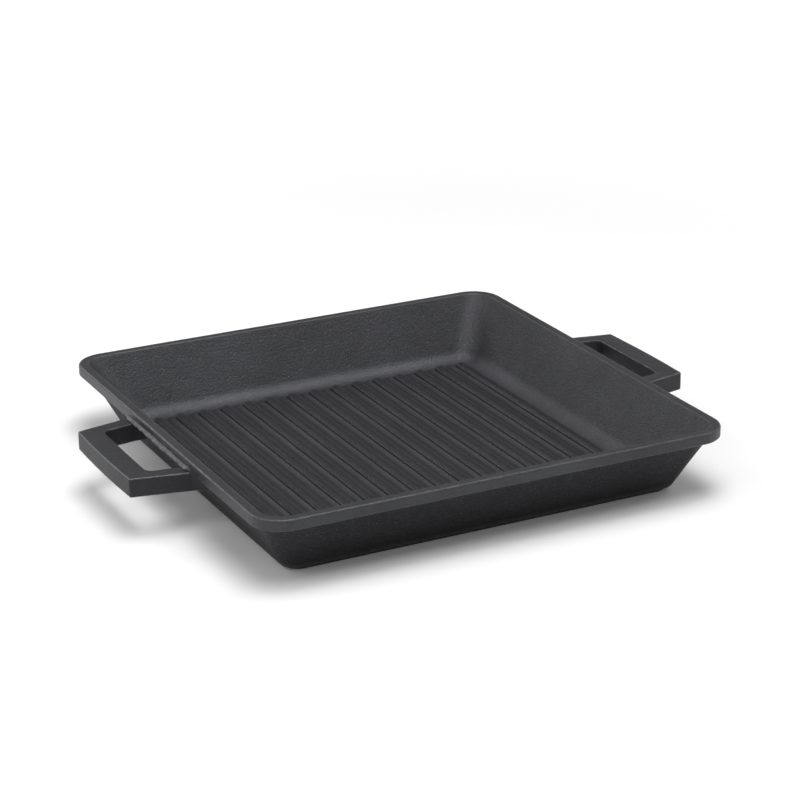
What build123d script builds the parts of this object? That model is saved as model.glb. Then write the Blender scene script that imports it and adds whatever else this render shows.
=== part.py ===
from build123d import *
import math
import os

# Square cast-iron grill pan with a ribbed floor and two loop handles.
# Millimetres. X runs from handle to handle, Y along the ribs, Z up.
# The origin is the middle of the footprint, on the surface the pan stands on.

# Rim, the thick band round the mouth
rim_length = 260.0
rim_breadth = 260.0
rim_corner_radius = 17.0
rim_depth = 6.0
rim_land = 5.1
rim_overhang = 5.1
rim_top_radius = 1.2
rim_under_bevel = 0.8

# Body, from the surface it stands on up to the top of the rim
pan_height = 37.0
wall_inset = 20.3
wall_corner_radius = 10.7
wall_base_thickness = 6.5
well_corner_radius = 14.0
base_thickness = 2.9
base_edge_radius = 2.2
base_corner_radius = 6.0
cove_radius = 11.5
cove_seam = 1.0

# Foot, the low ring under the base
foot_height = 1.6
foot_setback = 1.7
foot_width = 8.0
foot_corner_radius = 9.0
foot_edge_bevel = 0.4

# Grill ribs
rib_count = 15
rib_height = 2.8
rib_crown_width = 3.2
rib_foot_width = 4.6
rib_crown_radius = 1.0
rib_root_radius = 1.2
rib_end_bevel = 1.2
rib_end_gap = 3.0
rib_side_gap = 4.4

# Loop handles
handle_reach = 30.7
handle_bow = 0.8
handle_outer_width = 72.0
handle_root_width = 85.0
handle_thickness = 10.0
handle_drop = 5.3
handle_corner_radius = 2.0
handle_edge_radius = 1.2
handle_bevel = 0.8
handle_bar = 12.4
arm_outer_width = 6.0
arm_root_width = 9.5
slot_corner_radius = 4.0
root_flare = 6.0

# One overrun for whatever is drawn too long and then trimmed to fit
overrun = 1.5

# Levels that follow from the sizes above
floor_level = foot_height + base_thickness
rim_underside = pan_height - rim_depth
handle_bottom = pan_height - handle_drop - handle_thickness


def outer_inset(level):
    """How far the outside of the wall stands in from the rim's edge."""
    share = (rim_underside - level) / (rim_underside - foot_height)
    return rim_overhang + (wall_inset - rim_overhang) * share


def side_view(plane, width, spread, bottom, top):
    """A side view of a block that widens by a spread on each side."""
    with BuildSketch(plane) as view:
        with BuildLine():
            Polyline(
                (-width / 2, bottom),
                (width / 2, bottom),
                (width / 2 + spread, top),
                (-width / 2 - spread, top),
                close=True,
            )
        make_face()
    return view.sketch


def leaning_block(length, breadth, spread, bottom, top):
    """A block whose four plane sides all lean by the same spread."""
    with BuildPart() as block:
        front = side_view(Plane.XZ, length, spread, bottom, top)
        flank = side_view(Plane.YZ, breadth, spread, bottom, top)
        extrude(front, amount=length + breadth, both=True)
        extrude(flank, amount=length + breadth, both=True, mode=Mode.INTERSECT)
    return block.part


def slanted_edges(block):
    """The four edges that rise between a block's leaning sides."""
    return block.edges() - block.faces().filter_by(Axis.Z).edges()


def outline(level, inset, radius):
    """The rim's square, drawn in by an inset, with rounded corners."""
    with BuildSketch(Plane.XY.offset(level)) as square:
        RectangleRounded(rim_length - 2 * inset, rim_breadth - 2 * inset, radius)
    return square.sketch


# The hollow of the pan. Its walls lean out from the floor to the mouth, and
# a cove rolls the walls into the floor all the way round.
well_inset = outer_inset(floor_level) + wall_base_thickness
well_block = leaning_block(
    rim_length - 2 * well_inset,
    rim_breadth - 2 * well_inset,
    well_inset - rim_land,
    floor_level,
    pan_height,
)

with BuildPart() as well:
    add(well_block)
    fillet(slanted_edges(well), well_corner_radius)
    fillet(well.faces().sort_by(Axis.Z)[0].edges(), cove_radius)

# The flat of the floor ends where the cove begins.
well_lean = math.atan2(well_inset - rim_land, pan_height - floor_level)
cove_run = cove_radius * math.tan((math.pi / 2 - well_lean) / 2)
floor_inset = well_inset + cove_run

# The base plate is the flat of the floor, just inside the cove.
with BuildPart() as base_plate:
    plate = outline(foot_height, floor_inset + cove_seam, base_corner_radius)
    extrude(plate, amount=base_thickness)

base_plate.part.label = "base_plate"

# The side wall leans in from under the rim to the foot and holds the cove.
leaning_wall = leaning_block(
    rim_length - 2 * wall_inset,
    rim_breadth - 2 * wall_inset,
    wall_inset - rim_overhang,
    foot_height,
    rim_underside,
)

with BuildPart() as wall_block:
    add(leaning_wall)
    fillet(slanted_edges(wall_block), wall_corner_radius)
    fillet(wall_block.faces().sort_by(Axis.Z)[0].edges(), base_edge_radius)

with BuildPart() as side_wall:
    add(wall_block.part)
    add(well.part, mode=Mode.SUBTRACT)
    add(base_plate.part, mode=Mode.SUBTRACT)

side_wall.part.label = "side_wall"

# The rim is a plain band with all of its edges eased.
with BuildPart() as rim_block:
    extrude(outline(rim_underside, 0, rim_corner_radius), amount=rim_depth)
    fillet(rim_block.faces().sort_by(Axis.Z)[-1].edges(), rim_top_radius)
    chamfer(rim_block.faces().sort_by(Axis.Z)[0].edges(), rim_under_bevel)

with BuildPart() as rim_flange:
    add(rim_block.part)
    add(well.part, mode=Mode.SUBTRACT)
    mouth_edges = rim_flange.faces().sort_by(Axis.Z)[-1].inner_wires()[0].edges()
    fillet(mouth_edges, rim_top_radius)

rim_flange.part.label = "rim_flange"

# The foot ring stands just inside the lower edge of the wall.
foot_outer_inset = wall_inset + foot_setback
foot_inner_inset = foot_outer_inset + foot_width

with BuildPart() as foot_ring:
    extrude(outline(0, foot_outer_inset, foot_corner_radius), amount=foot_height)
    foot_hollow = outline(0, foot_inner_inset, foot_corner_radius)
    extrude(foot_hollow, amount=foot_height, mode=Mode.SUBTRACT)
    chamfer(foot_ring.faces().sort_by(Axis.Z)[0].edges(), foot_edge_bevel)

foot_ring.part.label = "foot_ring"

# The ribs are ridges with leaning flanks. Each is raised on a patch of floor,
# so that its root can be swept into the floor, and the patch is then taken off.
floor_length = rim_length - 2 * floor_inset
floor_breadth = rim_breadth - 2 * floor_inset
rib_length = floor_breadth - 2 * rib_end_gap
rib_pitch = (floor_length - 2 * rib_side_gap) / (rib_count - 1)
rib_block = leaning_block(
    rib_foot_width,
    rib_length,
    (rib_crown_width - rib_foot_width) / 2,
    floor_level,
    floor_level + rib_height,
)

with BuildPart() as rib_ridge:
    add(rib_block)
    chamfer(slanted_edges(rib_ridge), rib_end_bevel)
    fillet(rib_ridge.faces().sort_by(Axis.Z)[-1].edges(), rib_crown_radius)

with BuildPart() as floor_patch:
    with BuildSketch(Plane.XY.offset(floor_level)):
        Rectangle(rib_pitch, floor_breadth)
    extrude(amount=-overrun)

with BuildPart() as middle_rib:
    add(floor_patch.part)
    add(rib_ridge.part)
    patch_top = middle_rib.faces().filter_by(Axis.Z).sort_by(Axis.Z)[1]
    fillet(patch_top.inner_wires()[0].edges(), rib_root_radius)
    add(floor_patch.part, mode=Mode.SUBTRACT)

grill_ribs = []
for number in range(rib_count):
    rib_x = (number - (rib_count - 1) / 2) * rib_pitch
    grill_rib = Pos(rib_x, 0, 0) * middle_rib.part
    grill_rib.label = f"grill_rib_{number + 1:02d}"
    grill_ribs.append(grill_rib)

# Each handle is a flat loop cast on under the rim: two arms and a grip bar
# round a finger slot. The arms run in under the rim until they meet the wall.
# In this plane X is the reach out from the rim's edge and Z is up.
arm_root = -outer_inset(handle_bottom) - overrun
bar_inside = handle_reach - handle_bar
bow_start = handle_reach - handle_bow
slot_outer_width = handle_outer_width - 2 * arm_outer_width
slot_root_width = handle_root_width - 2 * arm_root_width
handle_plane = Plane(
    origin=(-rim_length / 2, 0, handle_bottom), x_dir=(-1, 0, 0), z_dir=(0, 0, 1)
)

with BuildSketch(handle_plane) as handle_outline:
    with BuildLine():
        grip = ThreePointArc(
            (bow_start, -handle_outer_width / 2),
            (handle_reach, 0),
            (bow_start, handle_outer_width / 2),
        )
        flare_ends = []
        for side, grip_end in ((-1, grip @ 0), (1, grip @ 1)):
            flank = Line(grip_end, (0, side * handle_root_width / 2))
            flare_end = (arm_root, side * (handle_root_width / 2 + root_flare))
            TangentArc(flank @ 1, flare_end, tangent=flank % 1)
            flare_ends.append(flare_end)
        Line(flare_ends)
    make_face()
    fillet(handle_outline.vertices().group_by(Axis.X)[-1], handle_corner_radius)

with BuildSketch(handle_plane) as finger_slot:
    with BuildLine():
        Polyline(
            (arm_root, -slot_root_width / 2),
            (0, -slot_root_width / 2),
            (bar_inside, -slot_outer_width / 2),
            (bar_inside, slot_outer_width / 2),
            (0, slot_root_width / 2),
            (arm_root, slot_root_width / 2),
            close=True,
        )
    make_face()
    fillet(finger_slot.vertices().group_by(Axis.X)[-1], slot_corner_radius)

with BuildPart() as left_handle:
    extrude(handle_outline.sketch, amount=handle_thickness)
    root_end = left_handle.faces().filter_by(Axis.X).sort_by(Axis.X)[-1]
    top = left_handle.faces().sort_by(Axis.Z)[-1]
    fillet(top.edges() - root_end.edges(), handle_edge_radius)
    extrude(finger_slot.sketch, amount=handle_thickness, mode=Mode.SUBTRACT)
    slot_rim = left_handle.edges(Select.LAST).group_by(Axis.Z)[-1]
    under = left_handle.faces().sort_by(Axis.Z)[0]
    root_ends = left_handle.faces().filter_by(Axis.X).sort_by(Axis.X)[-2:]
    chamfer(slot_rim + under.edges() - root_ends.edges(), handle_bevel)
    add(rim_block.part, mode=Mode.SUBTRACT)
    add(wall_block.part, mode=Mode.SUBTRACT)

left_handle.part.label = "left_handle"

with BuildPart() as right_handle:
    mirror(left_handle.part, about=Plane.YZ)

right_handle.part.label = "right_handle"

os.makedirs("parts", exist_ok=True)
export_step(base_plate.part, "parts/base_plate.step")
export_step(side_wall.part, "parts/side_wall.step")
export_step(rim_flange.part, "parts/rim_flange.step")
export_step(foot_ring.part, "parts/foot_ring.step")
export_step(left_handle.part, "parts/left_handle.step")
export_step(right_handle.part, "parts/right_handle.step")
for grill_rib in grill_ribs:
    export_step(grill_rib, f"parts/{grill_rib.label}.step")
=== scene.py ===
# %% [markdown]
# # A square cast-iron grill pan
# The real pan is a single iron casting, poured in sand and baked with oil until
# it is black. It has a thick rim, leaning walls, a floor with fifteen ribs and a
# flat loop handle on two sides. The measured CAD frame already says how large
# everything is, so this lesson builds a finely rounded skin over each of its
# pieces and gives the skin the grain, sheen and worn edges of seasoned iron.

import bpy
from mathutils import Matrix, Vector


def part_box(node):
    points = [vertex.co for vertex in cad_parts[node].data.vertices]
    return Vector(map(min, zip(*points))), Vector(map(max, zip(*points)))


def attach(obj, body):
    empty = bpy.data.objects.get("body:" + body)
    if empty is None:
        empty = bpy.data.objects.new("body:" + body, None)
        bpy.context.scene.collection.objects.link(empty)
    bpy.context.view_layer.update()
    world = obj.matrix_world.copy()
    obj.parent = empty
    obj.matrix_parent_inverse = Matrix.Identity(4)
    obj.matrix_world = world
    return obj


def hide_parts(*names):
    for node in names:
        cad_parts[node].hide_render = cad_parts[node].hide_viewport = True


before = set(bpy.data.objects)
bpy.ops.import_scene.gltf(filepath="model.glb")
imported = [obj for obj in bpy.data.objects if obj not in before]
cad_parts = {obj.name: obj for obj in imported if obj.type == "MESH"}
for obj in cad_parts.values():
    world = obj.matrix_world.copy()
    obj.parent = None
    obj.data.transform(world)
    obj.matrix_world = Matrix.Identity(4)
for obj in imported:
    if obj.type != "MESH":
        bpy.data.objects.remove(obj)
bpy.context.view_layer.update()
print("CAD nodes:", len(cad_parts))

# %% [markdown]
# ## Sizes
# Every piece could be drawn from typed numbers, but then it would drift when the
# frame changes. So the sizes are read from the frame's own boxes, in millimetres,
# and only what a box can't tell, such as a radius, is written down here.

# %% Read the pan's sizes from the frame
import math

import bpy
from mathutils import Matrix, Vector, noise

MM = 0.001


def node_box(node):
    """The lowest and highest corner of a CAD node, in millimetres."""
    low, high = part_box(node)
    return low / MM, high / MM


rim_low, rim_high = node_box("rim_flange")
wall_low, wall_high = node_box("side_wall")
handle_low, handle_high = node_box("right_handle")
plate_high = node_box("base_plate")[1]
foot_high = node_box("foot_ring")[1]

RIM_HALF = rim_high.x
RIM_TOP = rim_high.z
RIM_UNDER = rim_low.z
WALL_TOP_HALF = wall_high.x
BASE_LEVEL = wall_low.z
FLOOR_LEVEL = plate_high.z
SEAM_HALF = plate_high.x
FOOT_HALF = foot_high.x
HANDLE_TOP = handle_high.z
HANDLE_BOTTOM = handle_low.z
HANDLE_REACH = handle_high.x - RIM_HALF
print(f"rim {2 * RIM_HALF:.1f} mm across, {RIM_TOP:.1f} mm high")
print(f"floor at {FLOOR_LEVEL:.1f} mm, handles reach {HANDLE_REACH:.1f} mm")

# %% The leans of the two wall faces
RIM_CORNER = 17.0
RIM_LAND = 5.1
WALL_FOOT_HALF = 109.7
WALL_THICKNESS = 6.5
MOUTH_HALF = RIM_HALF - RIM_LAND

outer_lean = math.atan2(WALL_TOP_HALF - WALL_FOOT_HALF, RIM_UNDER - BASE_LEVEL)
well_foot_half = (
    WALL_FOOT_HALF
    + (FLOOR_LEVEL - BASE_LEVEL) * math.tan(outer_lean)
    - WALL_THICKNESS
)
inner_lean = math.atan2(MOUTH_HALF - well_foot_half, RIM_TOP - FLOOR_LEVEL)
print(f"outside leans {math.degrees(outer_lean):.1f} degrees")
print(f"inside leans {math.degrees(inner_lean):.1f} degrees")

# %% [markdown]
# ## Rings and skins
# The rim, the walls, the foot and the ribs all have the same kind of form: a
# profile carried round a rectangle with round corners. It could be swept with a
# curve, but a curve has one corner radius, and here the radius changes along the
# profile. So each profile point becomes its own ring of points, and a skin is
# stretched from ring to ring. Two numbers are kept for each point. One says how
# far an edge is worn, and on the ribs' flanks it also paints light. The other
# says how oily (up to 1) or dry (down to -1) it is, and it also lightens the
# colour as a painted highlight above 0 and darkens it as painted shade below 0.

# %% A ring of points round a rectangle with round corners
LEAST_RADIUS = 0.02


def rounded_ring(half_x, half_y, radius, level, along_x, along_y, corner):
    """Points in mm round a level rectangle, anticlockwise seen from above. The
    last three numbers are the steps along its sides and round a corner."""
    radius = max(LEAST_RADIUS, min(radius, half_x, half_y))
    ring = []
    corners = ((1, -1, along_y), (1, 1, along_x), (-1, 1, along_y), (-1, -1, along_x))
    for number, (sign_x, sign_y, side_steps) in enumerate(corners):
        centre_x = sign_x * (half_x - radius)
        centre_y = sign_y * (half_y - radius)
        for step in range(corner + 1):
            turn = math.radians(90 * (number - 1 + step / corner))
            x = centre_x + radius * math.cos(turn)
            y = centre_y + radius * math.sin(turn)
            ring.append(Vector((x, y, level)))
        next_sign_x, next_sign_y, _ = corners[(number + 1) % 4]
        turn = math.radians(90 * number)
        end_x = next_sign_x * (half_x - radius) + radius * math.cos(turn)
        end_y = next_sign_y * (half_y - radius) + radius * math.sin(turn)
        start, end = ring[-1], Vector((end_x, end_y, level))
        ring += [start.lerp(end, step / side_steps) for step in range(1, side_steps)]
    return ring


coarse_ring = rounded_ring(RIM_HALF, RIM_HALF, RIM_CORNER, RIM_TOP, 4, 4, 3)
print("points in a coarse ring round the rim:", len(coarse_ring))

# %% [markdown]
# ## An uneven casting
# No face of a sand casting is quite flat. The mould gives way by about a tenth of
# a millimetre here and there, and a shine that runs along the rim shows it. A
# displace modifier could do this to each piece, but the seams between the pieces
# would open. So one function moves every point by a noise that depends only on
# where the point is, and two pieces that meet are moved alike.

# %% Move a point as the sand does
SWAY = 0.11
SWAY_LENGTH = 38.0
SWAY_RISE = 10.0
RIPPLE = 0.1
RIPPLE_LENGTH = 7.0
UPRIGHT_SHARE = 0.5
DRAWN_IN = 1.3
DRAWN_DOWN = 1.4


def cast_unevenly(point):
    """A point in mm, moved by up to the sway, as a sand mould gives way. It is
    also drawn in and down a little, which keeps the skins in the frame's box."""
    strength = SWAY * min(1.0, max(0.0, (point.z - FLOOR_LEVEL) / SWAY_RISE))
    sway = noise.noise_vector(point / SWAY_LENGTH)
    sway += noise.noise_vector(point / RIPPLE_LENGTH) * RIPPLE
    shrink = 1 - strength * DRAWN_IN / RIM_HALF
    return Vector(
        (
            point.x * shrink + strength * sway.x,
            point.y * shrink + strength * sway.y,
            point.z + strength * UPRIGHT_SHARE * (sway.z - DRAWN_DOWN),
        )
    )


moved = [(cast_unevenly(point) - point).length for point in coarse_ring]
print(f"the rim's edge is moved by {min(moved):.2f} to {max(moved):.2f} mm")

# %% Stretch a skin over rings
SHARP_ANGLE = math.radians(38)


def for_each_point(amounts, count):
    """One number per point. A ring's amount is one number or a list of them."""
    values = []
    for amount in amounts:
        values += amount if isinstance(amount, list) else [amount] * count
    return values


def skin(name, rings, wear, looped, shine=None):
    """A mesh object over rings of points in mm. A looped skin closes on itself,
    as a hoop does, and any other one is capped at its first and last ring."""
    count = len(rings[0])
    points = [cast_unevenly(point) * MM for ring in rings for point in ring]
    faces = []
    bands = len(rings) if looped else len(rings) - 1
    for band in range(bands):
        low = band * count
        high = (band + 1) % len(rings) * count
        for step in range(count):
            after = (step + 1) % count
            faces.append((low + step, low + after, high + after, high + step))
    if not looped:
        last = (len(rings) - 1) * count
        faces.append(tuple(reversed(range(count))))
        faces.append(tuple(range(last, last + count)))
    mesh = bpy.data.meshes.new(name)
    mesh.from_pydata(points, [], faces)
    mesh.shade_smooth()
    mesh.set_sharp_from_angle(angle=SHARP_ANGLE)
    shine = shine or [0.0] * len(rings)
    # Besides wear and oil, these two numbers carry painted light into the colour: lit
    # flanks on the ribs, painted highlights and painted shade.
    for kind, amounts in (("edge_wear_and_lit_flanks", wear), ("oil_and_painted_light", shine)):
        numbers = mesh.attributes.new(kind, "FLOAT", "POINT").data
        numbers.foreach_set("value", for_each_point(amounts, count))
    mesh.validate()
    piece = bpy.data.objects.new(name, mesh)
    bpy.context.scene.collection.objects.link(piece)
    print(f"{name}: {len(points)} points, {len(faces)} faces")
    return piece


# %% [markdown]
# ## A bench for node trees
# A finish in Blender is a tree of nodes, and each node takes several lines to add,
# set and link. The trees could be drawn by hand in the shader editor, but then
# nobody could read them here. So a small bench adds a node and feeds its inputs in
# one line, and the iron, the paper and the world are all built on it.


# %% Add and feed nodes
class NodeBench:
    """The node tree of a material or a world, emptied and ready for new nodes."""

    def __init__(self, owner):
        owner.use_nodes = True
        self.tree = owner.node_tree
        self.tree.nodes.clear()

    def add(self, kind, fed=None, **settings):
        """A new node. Each input that is fed gets a link or a plain value."""
        node = self.tree.nodes.new(f"ShaderNode{kind}")
        for key, value in settings.items():
            setattr(node, key, value)
        for key, value in (fed or {}).items():
            if isinstance(value, bpy.types.NodeSocket):
                self.tree.links.new(value, node.inputs[key])
            else:
                node.inputs[key].default_value = value
        return node

    def combine(self, operation, first, second):
        """One number made of two."""
        return self.add("Math", {0: first, 1: second}, operation=operation).outputs[0]

    def remap(self, value, low, high, to_low, to_high, **settings):
        """A number carried over from one span to another, and held at its ends."""
        spans = {"From Min": low, "From Max": high, "To Min": to_low, "To Max": to_high}
        return self.add("MapRange", {"Value": value, **spans}, **settings).outputs[0]

    def mix(self, share, first, second, blend_type="MIX"):
        """One colour made of two. A Mix node keeps its colours in inputs 6 and 7."""
        fed = {0: share, 6: first, 7: second}
        return self.add("Mix", fed, data_type="RGBA", blend_type=blend_type).outputs[2]

    def marked(self, kind):
        """A number that the skin keeps for each of its points."""
        return self.add("Attribute", attribute_name=kind).outputs["Fac"]

    def noise(self, per_metre, detail, rough):
        """A noise in the pan's own space, with so many waves to a metre."""
        place = self.add("TexCoord").outputs["Object"]
        fed = {"Vector": place, "Scale": per_metre, "Detail": detail, "Roughness": rough}
        return self.add("TexNoise", fed).outputs["Fac"]


# %% [markdown]
# ## Seasoned iron
# A new pan like this is black from baked-on oil. Close up it has the fine grain
# of the sand it was cast in, with small pits, and a few grains are painted grey
# as glints. It shines where the oil lies thick, and is dull where there is little
# of it. The oil number also paints light into the colour: painted highlights in
# the cove and on the ribs' ramps and flanks, and painted shade in the creases,
# valleys, crowns, outside and handle sides. A picture of iron could be wrapped
# round it, but that would stretch at the corners. So the marks are noises in the
# pan's own space: broad patches and blotches for the colour, and fine grains and
# pits for the relief. Where an edge is rubbed, the black has worn to bare grey,
# which the wear number drives. On the ribs' flanks that grey is painted light.

# %% The marks that the sand leaves
PATCHES_PER_METRE = 22.0
BLOTCHES_PER_METRE = 120.0
GRAINS_PER_METRE = 1500.0
PITS_PER_METRE = 800.0
SCUFFS_PER_METRE = 500.0
GLINTS_PER_METRE = 1150.0


def sand_marks(bench):
    """The iron's patches, blotches, grains and pits, as four numbers."""
    patches = bench.noise(PATCHES_PER_METRE, 4.0, 0.6)
    blotches = bench.noise(BLOTCHES_PER_METRE, 3.0, 0.6)
    grains = bench.noise(GRAINS_PER_METRE, 4.0, 0.75)
    place = bench.add("TexCoord").outputs["Object"]
    fed = {"Vector": place, "Scale": PITS_PER_METRE}
    dimples = bench.add("TexVoronoi", fed, feature="SMOOTH_F1").outputs["Distance"]
    return patches, blotches, grains, bench.remap(dimples, 0.05, 0.5, 0.0, 1.0)


def share_of_wear_and_painted_light(bench, painted_glint_share):
    """Where the black turns grey: on rubbed edges, on the ribs' flanks as painted light,
    and on a few grains as painted glints.
    """
    scuffs = bench.remap(bench.noise(SCUFFS_PER_METRE, 4.0, 0.7), 0.38, 0.62, 0.25, 1.0)
    rubbed = bench.combine("POWER", bench.marked("edge_wear_and_lit_flanks"), 2.0)
    # Grey specks on a few grains are painted glints.
    painted_glints = bench.remap(bench.noise(GLINTS_PER_METRE, 2.0, 0.6), 0.6, 0.72, 0.0, painted_glint_share)
    return bench.combine("MAXIMUM", bench.combine("MULTIPLY", rubbed, scuffs), painted_glints)


print(f"a grain is about {1 / GRAINS_PER_METRE / MM:.2f} mm across")


# %% The colour of the iron
def iron_colour(bench, marks, oil_and_painted_tone, worn_and_painted_light, black, bare):
    """The oil's black, varied by the marks, and bare grey where it is worn. The oil
    number also lightens it as a painted highlight and darkens it as painted shade.
    """
    patches, blotches, grains, _ = marks
    tone = bench.remap(patches, 0.3, 0.7, 0.8, 1.22)
    for change in (
        bench.remap(blotches, 0.25, 0.75, 0.86, 1.16),
        bench.remap(grains, 0.3, 0.72, 0.6, 1.5),
        # Painted light: above 0 the oil number lightens the tone as a painted highlight,
        # below 0 it darkens it as painted shade.
        bench.remap(oil_and_painted_tone, -1.0, 1.0, 0.15, 1.85),
    ):
        tone = bench.combine("MULTIPLY", tone, change)
    grey = bench.add("CombineColor", {"Red": tone, "Green": tone, "Blue": tone})
    coat = bench.mix(1.0, (*black, 1), grey.outputs["Color"], "MULTIPLY")
    return bench.mix(worn_and_painted_light, coat, (*bare, 1))


# %% The relief of the iron
PIT_DEPTH = 0.5
BLOTCH_DEPTH = 0.8


def iron_relief(bench, marks, grain):
    """The bumps of the grains, pits and blotches. Grain is their depth in mm."""
    _, blotches, height, pits = marks
    for mark, depth in ((pits, PIT_DEPTH), (blotches, BLOTCH_DEPTH)):
        height = bench.combine("ADD", height, bench.combine("MULTIPLY", mark, depth))
    fed = {"Height": height, "Strength": 1.0, "Distance": grain * MM}
    return bench.add("Bump", fed).outputs["Normal"]


# %% The gloss of the iron
GRAIN_DULLING = 0.08
PATCH_DULLING = 0.04
WORN_GLOSS = 0.12
OILY_GLOSS = 0.16


def iron_roughness(bench, marks, oil_and_painted_tone, worn_and_painted_light, roughness):
    """Rougher between the grains, and smoother where it is worn or oily."""
    dull, bright = roughness + GRAIN_DULLING, roughness - GRAIN_DULLING
    gloss = bench.remap(marks[2], 0.3, 0.7, dull, bright)
    uneven = bench.remap(marks[0], 0.3, 0.7, PATCH_DULLING, -PATCH_DULLING)
    gloss = bench.combine("ADD", gloss, uneven)
    for smooth, amount in ((worn_and_painted_light, WORN_GLOSS), (oil_and_painted_tone, OILY_GLOSS)):
        shine = bench.combine("MULTIPLY", smooth, amount)
        gloss = bench.combine("SUBTRACT", gloss, shine)
    return gloss


# %% Build one seasoned-iron material
DRY_SHEEN = 0.24
OILED_SHEEN = 0.55
COOL_SHEEN = (0.93, 0.94, 1.0, 1.0)


def seasoned_iron(name, black, bare, roughness, grain, painted_glint_share):
    """Black iron with its worn grey, its grain's depth in mm and its painted glints."""
    iron = bpy.data.materials.new(name)
    bench = NodeBench(iron)
    marks = sand_marks(bench)
    # This number drives the oil's gloss, and also the painted highlights and painted
    # shade in the colour.
    oil_and_painted_tone = bench.marked("oil_and_painted_light")
    worn_and_painted_light = share_of_wear_and_painted_light(bench, painted_glint_share)
    fed = {
        "Base Color": iron_colour(bench, marks, oil_and_painted_tone, worn_and_painted_light, black, bare),
        "Roughness": iron_roughness(bench, marks, oil_and_painted_tone, worn_and_painted_light, roughness),
        "Specular IOR Level": bench.remap(oil_and_painted_tone, -1.0, 0.0, DRY_SHEEN, OILED_SHEEN),
        "Specular Tint": COOL_SHEEN,
        "Normal": iron_relief(bench, marks, grain),
    }
    shader = bench.add("BsdfPrincipled", fed)
    bench.add("OutputMaterial", {"Surface": shader.outputs["BSDF"]})
    print(f"{name}: {len(bench.tree.nodes)} nodes")
    return iron


# %% The four finishes of the pan
BARE_IRON = (0.12, 0.12, 0.124)
SCUFFED_IRON = (0.075, 0.075, 0.078)
# The floor's grey is also painted light on the ribs' flanks.
SCRAPED_IRON_AND_LIT_FLANKS = (0.15, 0.15, 0.153)
# The last number of each finish is the share of grains painted as glints.
floor_iron = seasoned_iron(
    "cooking_floor_iron", (0.02, 0.0202, 0.0225), SCRAPED_IRON_AND_LIT_FLANKS, 0.42, 0.32, 0.3
)
wall_iron = seasoned_iron(
    "pan_wall_iron", (0.0275, 0.0278, 0.0308), SCUFFED_IRON, 0.46, 0.26, 0.9
)
rim_iron = seasoned_iron(
    "rim_iron", (0.0245, 0.0248, 0.027), BARE_IRON, 0.46, 0.1, 0.12
)
handle_iron = seasoned_iron(
    "handle_iron", (0.0225, 0.0228, 0.025), BARE_IRON, 0.46, 0.1, 0.12
)

# %% [markdown]
# ## Dressing the frame
# The imported frame holds every CAD piece, and says which body it rides on. A skin
# could just be laid over its CAD piece, but then the two would show through each
# other. So each skin takes the place of its CAD piece: it hides it, and rides on
# the same body.


# %% Put a skin in the place of its CAD piece
def dress(piece, finish, slot, *nodes):
    """Gives a piece its finish, and lets it stand for its CAD nodes."""
    piece.data.materials.append(finish)
    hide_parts(*nodes)
    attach(piece, "root")
    print(f"{piece.name} in {finish.name} stands for", *nodes)
    return piece


# %% [markdown]
# ## The rim
# The rim is a band five millimetres wide and six deep. On the real pan its edges
# are ground just enough not to cut, and they catch the light as a thin bright
# line. A bevel modifier could round a plain band, but it can't mark which points
# lie on an edge. So the profile is written out point by point: up the outside,
# over the top, down the leaning mouth and back underneath. The inside of the
# mouth goes on from the wall below it, so it has the wall's finish.

# %% Points along a profile
RIM_ROUNDING = 1.2
RIM_BEVEL = 0.8


def rounding(centre_half, centre_level, size, start, end, steps, wear=1.0):
    """Profile points (half, level, wear) round an arc, in degrees from outward."""
    points = []
    for step in range(steps + 1):
        turn = math.radians(start + (end - start) * step / steps)
        half = centre_half + size * math.cos(turn)
        level = centre_level + size * math.sin(turn)
        points.append((half, level, wear * math.sin(math.pi * step / steps)))
    return points


def spaced(start, end, steps):
    """Unworn profile points between two others, with those two left out."""
    points = []
    for step in range(1, steps):
        share = step / steps
        half = start[0] + (end[0] - start[0]) * share
        level = start[1] + (end[1] - start[1]) * share
        points.append((half, level, 0.0))
    return points


def mouth_half(level):
    """How far the leaning inside of the wall stands from the middle."""
    return MOUTH_HALF - (RIM_TOP - level) * math.tan(inner_lean)


print(f"the mouth leans in by {MOUTH_HALF - mouth_half(RIM_UNDER):.1f} mm at the rim")

# %% The profile of the rim
UNDER_WEAR = 0.5
OUTER_WEAR = 0.85
MOUTH_WEAR = 0.7

mouth_turn = math.pi / 2 - inner_lean
mouth_run = RIM_ROUNDING * math.tan(mouth_turn / 2)
mouth_start = (MOUTH_HALF + mouth_run, RIM_TOP)
mouth_foot = (mouth_half(RIM_UNDER), RIM_UNDER)
top_centre = RIM_TOP - RIM_ROUNDING
outer_centre = RIM_HALF - RIM_ROUNDING
bevel_half, bevel_level = RIM_HALF - RIM_BEVEL, RIM_UNDER + RIM_BEVEL
mouth_end_turn = 90 + math.degrees(mouth_turn)

rim_profile = [(*mouth_foot, 0.0)]
rim_profile += rounding(bevel_half, bevel_level, RIM_BEVEL, -90, 0, 5, UNDER_WEAR)
rim_profile += spaced((RIM_HALF, bevel_level), (RIM_HALF, top_centre), 14)
rim_profile += rounding(outer_centre, top_centre, RIM_ROUNDING, 0, 90, 7, OUTER_WEAR)
rim_profile += spaced((outer_centre, RIM_TOP), mouth_start, 4)
rim_profile += rounding(
    mouth_start[0], top_centre, RIM_ROUNDING, 90, mouth_end_turn, 6, MOUTH_WEAR
)
mouth_band = len(rim_profile) - 1
rim_profile += spaced(rim_profile[-1], mouth_foot, 6)
print("points round the rim's profile:", len(rim_profile))

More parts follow.
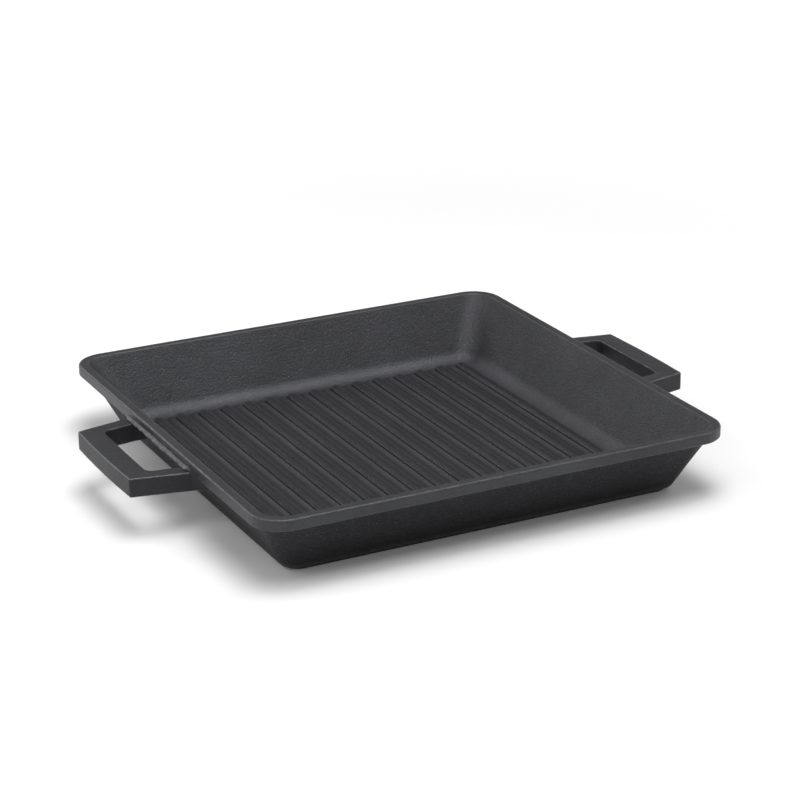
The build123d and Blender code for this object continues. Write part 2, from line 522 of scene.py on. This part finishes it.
# %% [markdown]
# ## The parting line
# A sand mould has two halves, and a little iron creeps in where they meet. It is
# ground off round the rim, but not beside the finger slots, where the handle is in
# the grinder's way. A string of small blobs could be added there, but on the real
# pan the line grows out of the rim with no edge of its own. So the rim's own
# points are pushed outward, and marked as worn, because they catch every knock.

# %% How far the parting line stands out
FLASH_LEVEL = RIM_UNDER + 1.2
FLASH_WIDTH = 1.3
FLASH_PROUD = 1.8
FLASH_LEAST = 0.3
FLASH_HALF = 44.0
FLASH_FADING = 10
ON_THE_OUTSIDE = 0.05
ARM_MIDDLE = 38.0
ARM_SPREAD = 3.0
ARM_FLASH = 0.5
# How much each waver amounts to, its length in mm and its seed
WANDER = (0.5, 7, 5)
SWELLS = (0.4, 5, 3)
BEADS = (0.3, 1.6, 8)


def waver(point, amount, length, seed):
    """A change along Y that a noise makes."""
    return amount * noise.noise(Vector((point.x, point.y / length, seed)))


def parting_flash(point):
    """How far the iron that crept between the mould's halves stands out, in mm.
    It is a flat bead that wanders up and down, and it is strongest at the arms."""
    along = abs(point.y)
    above = abs(point.z - FLASH_LEVEL - waver(point, *WANDER))
    beside = 1 - above / FLASH_WIDTH
    if abs(point.x) < RIM_HALF - ON_THE_OUTSIDE or beside <= 0 or along > FLASH_HALF:
        return 0.0
    ragged = 1.0 + waver(point, *SWELLS) + waver(point, *BEADS)
    ragged += ARM_FLASH * math.exp(-(((along - ARM_MIDDLE) / ARM_SPREAD) ** 2))
    fading = 1 - (along / FLASH_HALF) ** FLASH_FADING
    return FLASH_PROUD * math.sqrt(beside) * fading * max(FLASH_LEAST, ragged)


slot_flash = parting_flash(Vector((RIM_HALF, 0, FLASH_LEVEL)))
print(f"the flash stands {slot_flash:.1f} mm proud at the middle of the right slot")

# %% Skin the rim
RIM_STEPS = (150, 260, 14)
FLASH_WEAR = 0.8

rim_rings, rim_wear = [], []
for half, level, wear in rim_profile:
    radius = max(RIM_CORNER - RIM_LAND, RIM_CORNER - RIM_HALF + half)
    ring = rounded_ring(half, half, radius, level, *RIM_STEPS)
    proud = [parting_flash(point) for point in ring]
    for point, out in zip(ring, proud):
        point.x += math.copysign(out, point.x)
    rim_rings.append(ring)
    rim_wear.append([min(1.0, wear + FLASH_WEAR * out) for out in proud])
rim_skin = skin("rim_skin", rim_rings, rim_wear, True)
dress(rim_skin, rim_iron, "pan_rim", "rim_flange")
rim_skin.data.materials.append(wall_iron)
for face in rim_skin.data.polygons:
    if face.index // len(rim_rings[0]) >= mouth_band:
        face.material_index = 1

# %% [markdown]
# ## The side wall
# The wall leans out from the foot to the rim, and inside it rolls into the floor
# through a broad cove, so that a spatula can follow it. Its outer corners are
# tighter below than above. Such a wall could be carved from a block with
# booleans, but those leave long thin faces that shade badly. So it is one hoop of
# rings again: down the outside, along the underside and up through the cove. Oil
# gathers in the cove and shines there, and its colour is lightened there as a
# painted highlight. The outside is dull and dry, and its black is darkened as
# painted shade.

# %% The profile of the wall
COVE_RADIUS = 11.5
BASE_ROUNDING = 2.2
BASE_WEAR = 0.6
CORNER_ABOVE = 12.8
CORNER_BELOW = 7.25
INNER_CORNER = RIM_CORNER - RIM_LAND
BASE_CORNER = 6.0


def outer_half(level):
    """How far the outside of the wall stands from the middle."""
    return WALL_FOOT_HALF + (level - BASE_LEVEL) * math.tan(outer_lean)


def outer_corner(level):
    """The corner radius of the wall's outside, wider above than below."""
    share = (level - BASE_LEVEL) / (RIM_UNDER - BASE_LEVEL)
    return CORNER_BELOW + (CORNER_ABOVE - CORNER_BELOW) * share


base_turn = math.pi / 2 - outer_lean
base_half = WALL_FOOT_HALF - BASE_ROUNDING * math.tan(base_turn / 2)
base_level = BASE_LEVEL + BASE_ROUNDING
base_end_turn = -math.degrees(outer_lean)
base_edge = rounding(
    base_half, base_level, BASE_ROUNDING, -90, base_end_turn, 5, BASE_WEAR
)
wall_top = (outer_half(RIM_UNDER), RIM_UNDER)
outside = spaced(base_edge[-1], wall_top, 12)

cove_turn = math.pi / 2 - inner_lean
cove_half = well_foot_half - COVE_RADIUS * math.tan(cove_turn / 2)
cove_level = FLOOR_LEVEL + COVE_RADIUS
cove_start_turn = -math.degrees(inner_lean)
cove = rounding(cove_half, cove_level, COVE_RADIUS, cove_start_turn, -90, 12, 0.0)
wall_face = spaced(mouth_foot, cove[0], 12)
print(f"the cove runs into the floor {cove[-1][0]:.1f} mm from the middle")

# %% Skin the wall
# The outside is dull and darkened as painted shade. The cove is oily and lightened as a
# painted highlight.
OUTSIDE_DULL_AND_PAINTED_SHADE = -0.75
COVE_OIL_AND_PAINTED_HIGHLIGHT = 0.62
WALL_STEPS = (90, 90, 14)
wall_rings, wall_wear, wall_oil_and_painted_light = [], [], []


def wall_ring(half, level, wear, radius, shine=0.0):
    """Adds one ring of the wall."""
    wall_rings.append(rounded_ring(half, half, radius, level, *WALL_STEPS))
    wall_wear.append(wear)
    wall_oil_and_painted_light.append(shine)


wall_ring(SEAM_HALF, BASE_LEVEL, 0.0, BASE_CORNER)
for half, level, wear in base_edge:
    wall_ring(half, level, wear, outer_corner(level) - (outer_half(level) - half))
for half, level, wear in outside:
    wall_ring(half, level, wear, outer_corner(level), OUTSIDE_DULL_AND_PAINTED_SHADE)
wall_ring(*wall_top, 0.0, CORNER_ABOVE)
wall_ring(*mouth_foot, 0.0, INNER_CORNER)
for half, level, wear in wall_face:
    wall_ring(half, level, wear, INNER_CORNER)
# The cove's colour is lightened as a painted highlight, most in its middle.
for number, (half, level, wear) in enumerate(cove):
    shine = COVE_OIL_AND_PAINTED_HIGHLIGHT * math.sin(math.pi * number / len(cove))
    wall_ring(half, level, wear, INNER_CORNER - (cove[0][0] - half), shine)
wall_ring(SEAM_HALF, FLOOR_LEVEL, 0.0, BASE_CORNER)
wall_skin = skin("side_wall_skin", wall_rings, wall_wear, True, wall_oil_and_painted_light)
dress(wall_skin, wall_iron, "pan_wall", "side_wall")

# %% [markdown]
# ## Floor and foot
# The floor between the ribs is flat, and so is its underside. Only a low ring
# touches the hob, which keeps the pan from rocking when the iron warps a little.
# A cube and a bevelled ring would do for them. The same rings as before are used,
# because the floor then meets the cove point by point, with no crack between.

# %% Skin the floor plate
# The floor between the ribs is dull and darkened as painted shade.
VALLEY_DULL_AND_PAINTED_SHADE = -0.48

plate_rings = [
    rounded_ring(SEAM_HALF, SEAM_HALF, BASE_CORNER, level, *WALL_STEPS)
    for level in (BASE_LEVEL, FLOOR_LEVEL)
]
plate_painted_shade = [VALLEY_DULL_AND_PAINTED_SHADE] * len(plate_rings)
plate_skin = skin("base_plate_skin", plate_rings, [0.0, 0.0], False, plate_painted_shade)
dress(plate_skin, floor_iron, "cooking_floor", "base_plate")

# %% Skin the foot ring
FOOT_WIDTH = 8.0
FOOT_CORNER = 9.0
FOOT_ROUNDING = 0.4
FOOT_STEPS = (40, 40, 12)

foot_inner = FOOT_HALF - FOOT_WIDTH
foot_profile = [(foot_inner, BASE_LEVEL, 0.0)]
for centre, start in (
    (foot_inner + FOOT_ROUNDING, 180),
    (FOOT_HALF - FOOT_ROUNDING, 270),
):
    foot_profile += rounding(
        centre, FOOT_ROUNDING, FOOT_ROUNDING, start, start + 90, 4
    )
foot_profile.append((FOOT_HALF, BASE_LEVEL, 0.0))
foot_rings = [
    rounded_ring(half, half, FOOT_CORNER, level, *FOOT_STEPS)
    for half, level, _ in foot_profile
]
foot_wear = [wear for _, _, wear in foot_profile]
foot_skin = skin("foot_skin", foot_rings, foot_wear, True)
dress(foot_skin, wall_iron, "pan_wall", "foot_ring")

# %% [markdown]
# ## The ribs
# Fifteen ribs lift the food out of its fat and brand it with dark stripes. The
# floor sweeps up to each rib in a low ramp that shines with oil, and its colour
# lightens towards the rib as a painted highlight. Between the ramp and the rib
# lies a thin crease, dull where little oil gets to, and darkened as painted shade.
# The edge of the flank above it is rubbed down to grey and lightened as painted
# light, and the crown is a little rounded and darkened towards its middle as
# painted shade.
# An array modifier would make fifteen equal copies. Real ribs waver a little, so
# each one is skinned on its own, with its own slow bend, where its CAD node is.

# %% The ramp, the crease and the flank of a rib
RIB_FOOT_HALF = 2.3
RIB_CROWN_HALF = 1.6
RIB_HEIGHT = 2.8
RAMP_HALF = 6.2
RAMP_RISE = 0.65
# The ramp is oily, and its colour lightens towards the rib as a painted highlight.
RAMP_OIL_AND_PAINTED_HIGHLIGHT = 0.85
RAMP_STEPS = 8
CREASE_HALF = 3.15
CREASE = ((0.05, 0.62), (0.4, 0.4), (0.72, 0.6), (0.96, 0.95))
# The flank is scraped grey, and also painted light: its grey and its raised oil number
# both lighten it.
FLANK = ((1.06, 1.0, 0.4), (1.3, 1.0, 1.0), (1.95, 0.9, 0.6))
rib_lean = math.atan2(RIB_FOOT_HALF - RIB_CROWN_HALF, RIB_HEIGHT)


def ramp_point(share):
    """A point of the floor's sweep up to a rib: (half, level, wear, shine)."""
    half = RAMP_HALF + (CREASE_HALF - RAMP_HALF) * share
    shine = VALLEY_DULL_AND_PAINTED_SHADE + (RAMP_OIL_AND_PAINTED_HIGHLIGHT - VALLEY_DULL_AND_PAINTED_SHADE) * share
    return half, FLOOR_LEVEL + RAMP_RISE * share**2, 0.0, shine


def flank_point(height, wear, shine):
    """A point of a rib's flank at a height over the floor."""
    half = RIB_FOOT_HALF - height * math.tan(rib_lean)
    return half, FLOOR_LEVEL + height, wear, shine


rib_profile = [ramp_point(step / RAMP_STEPS) for step in range(RAMP_STEPS + 1)]
# The crease is dull, and its colour is darkened as painted shade.
for inward_by, height in CREASE:
    rib_profile.append((CREASE_HALF - inward_by, FLOOR_LEVEL + height, 0.0, -1.0))
rib_profile += [flank_point(*point) for point in FLANK]
print(f"a rib's flank leans {math.degrees(rib_lean):.0f} degrees")

# %% The crown of a rib
RIB_CROWN = 0.7
CROWN_WEAR = 0.5
CROWN_STEPS = 6
CROWN_MIDDLE = 0.25
rib_turn = math.pi / 2 - rib_lean

crown_arc = rounding(
    RIB_CROWN_HALF - RIB_CROWN * math.tan(rib_turn / 2),
    FLOOR_LEVEL + RIB_HEIGHT - RIB_CROWN,
    RIB_CROWN,
    math.degrees(rib_lean),
    90,
    CROWN_STEPS,
)
# The crown's colour darkens towards its middle as painted shade.
for step, (half, level, _) in enumerate(crown_arc):
    share = step / CROWN_STEPS
    rib_profile.append((half, level, CROWN_WEAR * (1 - share), VALLEY_DULL_AND_PAINTED_SHADE * share))
rib_profile.append((CROWN_MIDDLE, FLOOR_LEVEL + RIB_HEIGHT, 0.0, VALLEY_DULL_AND_PAINTED_SHADE))
print("points across half a rib:", len(rib_profile))

# %% Skin the fifteen ribs
RIB_END_CORNER = 1.4
CORNER_GROWTH = 0.9
LEAST_CORNER = 0.2
FULLEST_CORNER = 0.98
RIB_STEPS = (4, 64, 5)
RIB_BEND = 0.12
BEND_LENGTH = 30
RIB_DIP = 0.06
DIP_LENGTH = 12


def skin_rib(node):
    """Skins one rib where its CAD node lies."""
    low, high = node_box(node)
    middle = (low.x + high.x) / 2
    end = high.y - (high.x - low.x) / 2
    rings = []
    for half, level, _, _ in rib_profile:
        corner = RIB_END_CORNER + CORNER_GROWTH * (half - RIB_FOOT_HALF)
        corner = max(LEAST_CORNER, min(corner, half * FULLEST_CORNER))
        share = (level - FLOOR_LEVEL) / RIB_HEIGHT
        ring = rounded_ring(half, end + half, corner, level, *RIB_STEPS)
        for point in ring:
            bend = noise.noise(Vector((middle, point.y / BEND_LENGTH, 0)))
            dip = noise.noise(Vector((middle, point.y / DIP_LENGTH, 9)))
            point.x += middle + RIB_BEND * share * bend
            point.z -= RIB_DIP * share * (1 + dip)
        rings.append(ring)
    wear = [point[2] for point in rib_profile]
    shine = [point[3] for point in rib_profile]
    piece = skin(f"{node}_skin", rings, wear, False, shine)
    return dress(piece, floor_iron, "cooking_floor", node)


rib_nodes = sorted(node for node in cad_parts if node.startswith("grill_rib"))
rib_skins = [skin_rib(node) for node in rib_nodes]
print("ribs:", len(rib_skins))

# %% [markdown]
# ## The handles
# Each handle is a flat loop, cast with the pan: two arms flare out of the wall
# under the rim and carry a bowed grip bar. A thick curve could follow the loop,
# but its arms get wider towards the wall and the slot has softer corners than the
# outside. So the outline and the slot are walked side by side in equal steps, and
# at each step a small rounded section is stretched from one to the other. The
# top is rubbed by hands and oven gloves, and the outer sides are drier and
# duller, and their black is darkened as painted shade.


# %% Arcs and runs along a path
def corner_arc(before, corner, after, radius, steps):
    """Points of an arc that rounds a corner between two other points."""
    to_before = (before - corner).normalized()
    to_after = (after - corner).normalized()
    half_angle = to_before.angle(to_after) / 2
    run = radius / math.tan(half_angle)
    centre_way = (to_before + to_after).normalized()
    centre = corner + centre_way * (radius / math.sin(half_angle))
    spoke = corner + to_before * run - centre
    sweep = (corner + to_after * run - centre).angle_signed(spoke)
    arc = []
    for step in range(steps + 1):
        turned = spoke.copy()
        turned.rotate(Matrix.Rotation(sweep * step / steps, 2))
        arc.append(centre + turned)
    return arc


def straight(start, end, steps):
    """Evenly spaced points from start up to, but without, the end."""
    return [start.lerp(end, step / steps) for step in range(steps)]


sample_arc = corner_arc(Vector((0, 5)), Vector((5, 5)), Vector((5, 0)), 2, 8)
print("a corner of radius 2 at 5, 5 runs from", sample_arc[0][:], "to", sample_arc[-1][:])

# %% The outline and the slot of a handle
HANDLE_BOW = 0.8
GRIP_HALF = 36.3
ROOT_HALF = 42.5
ROOT_FLARE = 6.0
ARM_TIP = 6.0
ARM_ROOT = 9.5
GRIP_BAR = 12.4
GRIP_CORNER = 1.1
SLOT_CORNER = 4.0
ROOT_REACH = -11.4
ROOT_STEPS = 12
ARM_STEPS = 14
CORNER_STEPS = 8
GRIP_STEPS = 22


def half_loop(tip_x, tip_y, neck_y, radius, flare):
    """One side of the outline or the slot, from the root to the middle. Beyond
    the neck, at the rim's edge, it runs on into the wall and may flare out."""
    neck, tip, middle = Vector((0, neck_y)), Vector((tip_x, tip_y)), Vector((tip_x, 0))
    slope = (neck_y - tip_y) / tip_x if flare else 0.0
    widening = flare + slope * ROOT_REACH
    root = []
    for step in range(ROOT_STEPS):
        share = 1 - step / ROOT_STEPS
        x = ROOT_REACH * share
        root.append(Vector((x, neck_y - slope * x + widening * share**2)))
    arc = corner_arc(neck, tip, middle, radius, CORNER_STEPS)
    arm = straight(neck, arc[0], ARM_STEPS)
    return root + arm + arc[:-1] + straight(arc[-1], middle, GRIP_STEPS)


def whole_loop(half):
    """Both sides of the loop: the half, its middle and its mirror image."""
    middle = Vector((half[-1].x, 0))
    other = [Vector((point.x, -point.y)) for point in reversed(half)]
    return half + [middle] + other


grip_x = HANDLE_REACH - HANDLE_BOW
outer_side = half_loop(grip_x, GRIP_HALF, ROOT_HALF, GRIP_CORNER, ROOT_FLARE)
for point in outer_side:
    if point.x > grip_x - GRIP_CORNER:
        point.x += HANDLE_BOW * (1 - (point.y / GRIP_HALF) ** 2)
slot_side = half_loop(
    HANDLE_REACH - GRIP_BAR, GRIP_HALF - ARM_TIP, ROOT_HALF - ARM_ROOT, SLOT_CORNER, 0.0
)
outline = whole_loop(outer_side)
slot_edge = whole_loop(slot_side)
print("steps round a handle:", len(outline))

# %% The section of a handle
HANDLE_ROUNDING = 0.8
HANDLE_BEVEL = 0.8
SIDE_STEPS = 5
OUTER, INNER = 0, 1


def section_edge(path, size, flat, from_flat, steps, wear):
    """Section points (path, distance in, level, wear) round one long edge, from
    its flat face to its side or back."""
    points = []
    for step in range(steps + 1):
        turn = math.radians(90 * step / steps)
        fall, rise = size * (1 - math.sin(turn)), size * (1 - math.cos(turn))
        distance, away = (fall, rise) if from_flat else (rise, fall)
        level = flat + away if flat == HANDLE_BOTTOM else flat - away
        points.append((path, distance, level, wear * math.sin(2 * turn)))
    return points


def section_side(path, start, end):
    """Section points up or down a side, between two levels."""
    levels = [start + (end - start) * step / SIDE_STEPS for step in range(1, SIDE_STEPS)]
    return [(path, 0.0, level, 0.0) for level in levels]


lower_level = HANDLE_BOTTOM + HANDLE_BEVEL
handle_section = [
    *section_edge(OUTER, HANDLE_BEVEL, HANDLE_BOTTOM, True, 5, 0.5),
    *section_side(OUTER, lower_level, HANDLE_TOP - HANDLE_ROUNDING),
    *section_edge(OUTER, HANDLE_ROUNDING, HANDLE_TOP, False, 7, 1.0),
    *section_edge(INNER, HANDLE_BEVEL, HANDLE_TOP, True, 5, 0.8),
    *section_side(INNER, HANDLE_TOP - HANDLE_BEVEL, lower_level),
    *section_edge(INNER, HANDLE_BEVEL, HANDLE_BOTTOM, False, 5, 0.4),
]
print("points round a handle's section:", len(handle_section))

# %% Skin a handle
# The outer sides of a handle are dull, and their black is darkened as painted shade.
SIDE_DULL_AND_PAINTED_SHADE = -0.42
SLOT_CHIPS = 0.9
CHIP_LENGTH = 2.5
IN_THE_WALL = 0.9


def inward(path, step, towards):
    """The unit vector across a path at one step, towards its partner."""
    before = path[max(step - 1, 0)]
    after = path[min(step + 1, len(path) - 1)]
    along = (after - before).normalized()
    across = Vector((-along.y, along.x))
    return across if across.dot(towards - path[step]) > 0 else -across


def root_reach(level):
    """How far in a handle's arm runs at a level, until it is inside the wall."""
    return outer_half(min(level, RIM_UNDER)) - RIM_HALF - IN_THE_WALL


def skin_handle(node, side):
    """Skins one handle. Side is -1 for the left one and 1 for the right one."""
    rings, wear, shine = [], [], []
    for step, ends in enumerate(zip(outline, slot_edge)):
        ring, rubs, side_painted_shade = [], [], []
        for path, distance, level, rubbed in handle_section[::side]:
            across = inward((outline, slot_edge)[path], step, ends[1 - path])
            spot = ends[path] + across * distance
            if spot.x < 0:
                spot.x *= root_reach(level) / ROOT_REACH
            point = Vector((side * (RIM_HALF + spot.x), spot.y, level))
            chipped = 1 + SLOT_CHIPS * path * noise.noise(point / CHIP_LENGTH)
            ring.append(point)
            rubs.append(min(1.0, rubbed * chipped))
            side_painted_shade.append(SIDE_DULL_AND_PAINTED_SHADE if path == OUTER and distance == 0 else 0.0)
        rings.append(ring)
        wear.append(rubs)
        shine.append(side_painted_shade)
    piece = skin(f"{node}_skin", rings, wear, False, shine)
    return dress(piece, handle_iron, "loop_handle", node)


skin_handle("left_handle", -1)
skin_handle("right_handle", 1)

# %% [markdown]
# ## Paper and air
# The pan stands on white paper, in air that is dim but for a white strip low down
# behind the paper. The paper could be lit until it looks white, but the black pan
# would turn grey with it. So the paper glows only for the camera and in
# reflections, and adds nothing to the soft light on the pan. It glows a little
# beside the pan, where the shadow must stay, and fully far away. There it is as
# white as the strip, so that no edge shows between them.


# %% Which rays look at the studio
def seen_directly(bench):
    """1 for rays from the camera, from gloss or through glass, and 0 for others."""
    rays = bench.add("LightPath").outputs
    seen = rays["Is Camera Ray"]
    for kind in ("Is Glossy Ray", "Is Transmission Ray"):
        seen = bench.combine("MAXIMUM", seen, rays[kind])
    return seen


# %% White paper under the pan
PAPER_WHITE = (0.92, 0.92, 0.92, 1)
PAPER_GLOW = 0.06
GLOW_STARTS = 0.4
GLOW_FULL = 1.4
PAPER_REACH = 20.0


def white_paper():
    """White paper that keeps the pan's shadow, and glows more further away."""
    white = bpy.data.materials.new("white_paper")
    bench = NodeBench(white)
    place = bench.add("TexCoord").outputs["Object"]
    away = bench.add("VectorMath", {0: place}, operation="LENGTH").outputs["Value"]
    glow = bench.remap(
        away, GLOW_STARTS, GLOW_FULL, PAPER_GLOW, 1.0, interpolation_type="SMOOTHSTEP"
    )
    strength = bench.combine("MULTIPLY", seen_directly(bench), glow)
    paper = bench.add("BsdfDiffuse", {"Color": PAPER_WHITE}).outputs[0]
    light = bench.add("Emission", {"Strength": strength}).outputs[0]
    both = bench.add("AddShader", {0: paper, 1: light})
    bench.add("OutputMaterial", {"Surface": both.outputs[0]})
    return white


sheet_corners = [
    (PAPER_REACH * x, PAPER_REACH * y, 0)
    for x, y in ((-1, -1), (1, -1), (1, 1), (-1, 1))
]
sheet = bpy.data.meshes.new("paper")
sheet.from_pydata(sheet_corners, [], [(0, 1, 2, 3)])
sheet.materials.append(white_paper())
floor = bpy.data.objects.new("paper", sheet)
bpy.context.scene.collection.objects.link(floor)
print(f"paper {2 * PAPER_REACH:.0f} m across")

# %% Dim air, and a white sweep low down behind the paper
AIR = 0.15
WHITE = (1, 1, 1, 1)
SWEEP_TOP = math.sin(math.radians(4))
SWEEP_END = math.sin(math.radians(9))

world = bpy.data.worlds.new("studio")
bpy.context.scene.world = world
bench = NodeBench(world)
view = bench.add("TexCoord").outputs["Generated"]
height = bench.add("SeparateXYZ", {0: view}).outputs["Z"]
sweep = bench.remap(height, SWEEP_TOP, SWEEP_END, 1.0, AIR)
air = bench.add("Background", {"Color": WHITE, "Strength": AIR}).outputs[0]
backdrop = bench.add("Background", {"Color": WHITE, "Strength": sweep}).outputs[0]
mix = bench.add("MixShader", {0: seen_directly(bench), 1: air, 2: backdrop})
bench.add("OutputWorld", {"Surface": mix.outputs[0]})
print("world nodes:", len(bench.tree.nodes))

# %% [markdown]
# ## Lamps
# Black iron shows its shape only by its shines: the cove and the top of the rim
# are bright, and the front wall is nearly black. One big lamp could light the
# pan, but then all of its faces would be the same grey. So six softboxes stand
# round it, and each has the power that the faces in front of it need.

# %% Six softboxes
PAN_MIDDLE = Vector((0, 0, 0.015))


def softbox(name, place, width, height, power):
    """A rectangular lamp aimed at the pan, in metres and watts."""
    lamp = bpy.data.lights.new(name, "AREA")
    lamp.shape = "RECTANGLE"
    lamp.size, lamp.size_y = width, height
    lamp.energy = power
    box = bpy.data.objects.new(name, lamp)
    box.location = place
    direction = PAN_MIDDLE - Vector(place)
    box.rotation_euler = direction.to_track_quat("-Z", "Y").to_euler()
    bpy.context.scene.collection.objects.link(box)
    print(f"{name}: {power:.1f} W")


softbox("overhead_softbox", (0.25, 0.1, 1.55), 0.8, 0.8, 9.0)
softbox("right_softbox", (1.2, 0.0, 1.05), 0.9, 0.9, 4.4)
softbox("front_softbox", (-0.1, -0.38, 1.25), 0.7, 0.7, 7.2)
softbox("left_softbox", (-0.58, -0.21, 0.46), 0.4, 0.4, 0.9)
softbox("back_left_softbox", (-0.43, 0.43, 0.43), 0.5, 0.5, 0.7)
softbox("back_softbox", (-0.4, 1.04, 0.72), 0.5, 0.4, 1.9)

# %% [markdown]
# ## The camera
# The photo was taken from well above the pan with a long lens, so the edges of
# the rim hardly run together. A camera could be moved about by eye until its
# picture looks right. This one was worked out from the straight edges of the rim
# and the handles, and then set finely against the pan's outline.

# %% The camera, where the photo was taken from
# Distances are counted in units of a 300th of the rim's side.
FOCAL_PIXELS = 2451.7
FRAME_PIXELS = 800
UNIT = 2 * RIM_HALF / 300 * MM
AZIMUTH = math.radians(-26.87)
ELEVATION = math.radians(20.73)
ROLL = math.radians(-0.52)
TO_THE_RIGHT = 7.20
DOWNWARD = 5.20
AWAY = 1488.0
SENSOR_WIDTH = 36
NEAREST = 0.01
FURTHEST = 50

level_right = Vector((math.cos(AZIMUTH), math.sin(AZIMUTH), 0))
level_back = Vector((math.sin(AZIMUTH), -math.cos(AZIMUTH), 0))
back = level_back * math.cos(ELEVATION) + Vector((0, 0, math.sin(ELEVATION)))
level_up = back.cross(level_right)
right = level_right * math.cos(ROLL) + level_up * math.sin(ROLL)
up = level_up * math.cos(ROLL) - level_right * math.sin(ROLL)
stand = (right * TO_THE_RIGHT - up * DOWNWARD + back * AWAY) * UNIT
stand.z += RIM_TOP * MM

lens = bpy.data.cameras.new("camera")
lens.sensor_width = SENSOR_WIDTH
lens.lens = FOCAL_PIXELS / FRAME_PIXELS * SENSOR_WIDTH
lens.clip_start, lens.clip_end = NEAREST, FURTHEST
camera = bpy.data.objects.new("camera", lens)
turn = Matrix((right, up, back)).transposed()
camera.matrix_world = Matrix.Translation(stand) @ turn.to_4x4()
bpy.context.scene.collection.objects.link(camera)
bpy.context.scene.camera = camera
bpy.context.scene.view_settings.view_transform = "Standard"
print("camera stands at", [round(v, 3) for v in stand])
